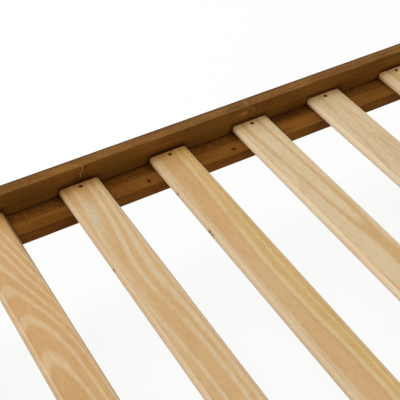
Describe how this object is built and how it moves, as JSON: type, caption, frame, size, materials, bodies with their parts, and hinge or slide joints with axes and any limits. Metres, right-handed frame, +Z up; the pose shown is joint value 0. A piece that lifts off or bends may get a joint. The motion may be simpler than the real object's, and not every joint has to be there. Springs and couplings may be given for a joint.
{
  "type": "slatted bed base",
  "caption": "Low slatted base for a small child's bed: stained pine rails and posts, inner ledges and screwed bullnose pine slats.",
  "frame": {"origin": "on the floor, under the middle of the base", "axes": "+X along the bed from head to foot, +Y across it from the front rail to the back rail, +Z up"},
  "size_m": [1.498, 0.798, 0.271],
  "materials": {
    "stained_pine": "honey-brown wood stain under a thin satin wax",
    "bare_pine": "bare planed pine, sanded",
    "bronzed_screw": "dark bronzed countersunk screws",
    "bolt_steel": "dark zinc-plated steel",
    "nut_steel": "bright zinc-plated steel",
    "beech": "plain beech dowel",
    "glide_plastic": "dark brown moulded plastic"
  },
  "bodies": {
    "root": {"side_rail_front": "stained_pine", "side_rail_back": "stained_pine", "head_rail": "stained_pine", "foot_rail": "stained_pine", "post_head_front": "stained_pine", "post_head_back": "stained_pine", "post_foot_front": "stained_pine", "post_foot_back": "stained_pine", "ledge_front": "stained_pine", "ledge_back": "stained_pine", "slat_01": "bare_pine", "slat_02": "bare_pine", "slat_03": "bare_pine", "slat_04": "bare_pine", "slat_05": "bare_pine", "slat_06": "bare_pine", "slat_07": "bare_pine", "slat_08": "bare_pine", "slat_09": "bare_pine", "slat_10": "bare_pine", "slat_screws": "bronzed_screw", "ledge_screws": "bronzed_screw", "bed_bolts": "bolt_steel", "barrel_nuts": "nut_steel", "side_rail_dowels": "beech", "end_rail_dowels": "beech", "floor_glides": "glide_plastic"}
  },
  "joints": []
}
